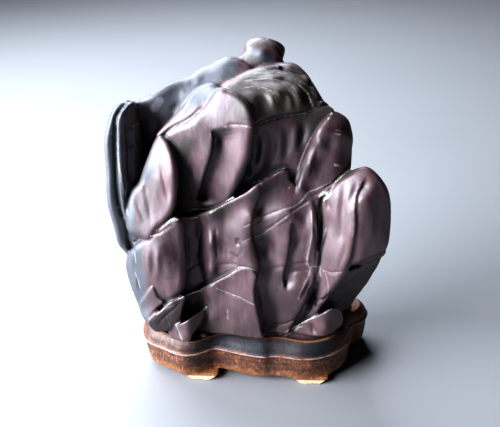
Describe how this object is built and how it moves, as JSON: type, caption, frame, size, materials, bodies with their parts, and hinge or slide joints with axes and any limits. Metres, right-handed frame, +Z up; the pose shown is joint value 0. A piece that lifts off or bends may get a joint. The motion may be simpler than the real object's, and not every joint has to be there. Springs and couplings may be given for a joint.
{
  "type": "scholars rock on a carved stand",
  "caption": "Dark polished scholars rock with overlapping lobes, ledges and a top knob, standing loose in the socket of a low lobed hardwood stand.",
  "frame": {"origin": "on the surface it stands on, under the middle of the whole object's plan", "axes": "+Z up, +X to the right as seen from the front, +Y from front to back"},
  "size_m": [0.264, 0.1466, 0.3341],
  "materials": {
    "stone": "satin",
    "wood": "satin"
  },
  "bodies": {
    "root": {"stone": "stone", "stand": "wood"}
  },
  "joints": []
}
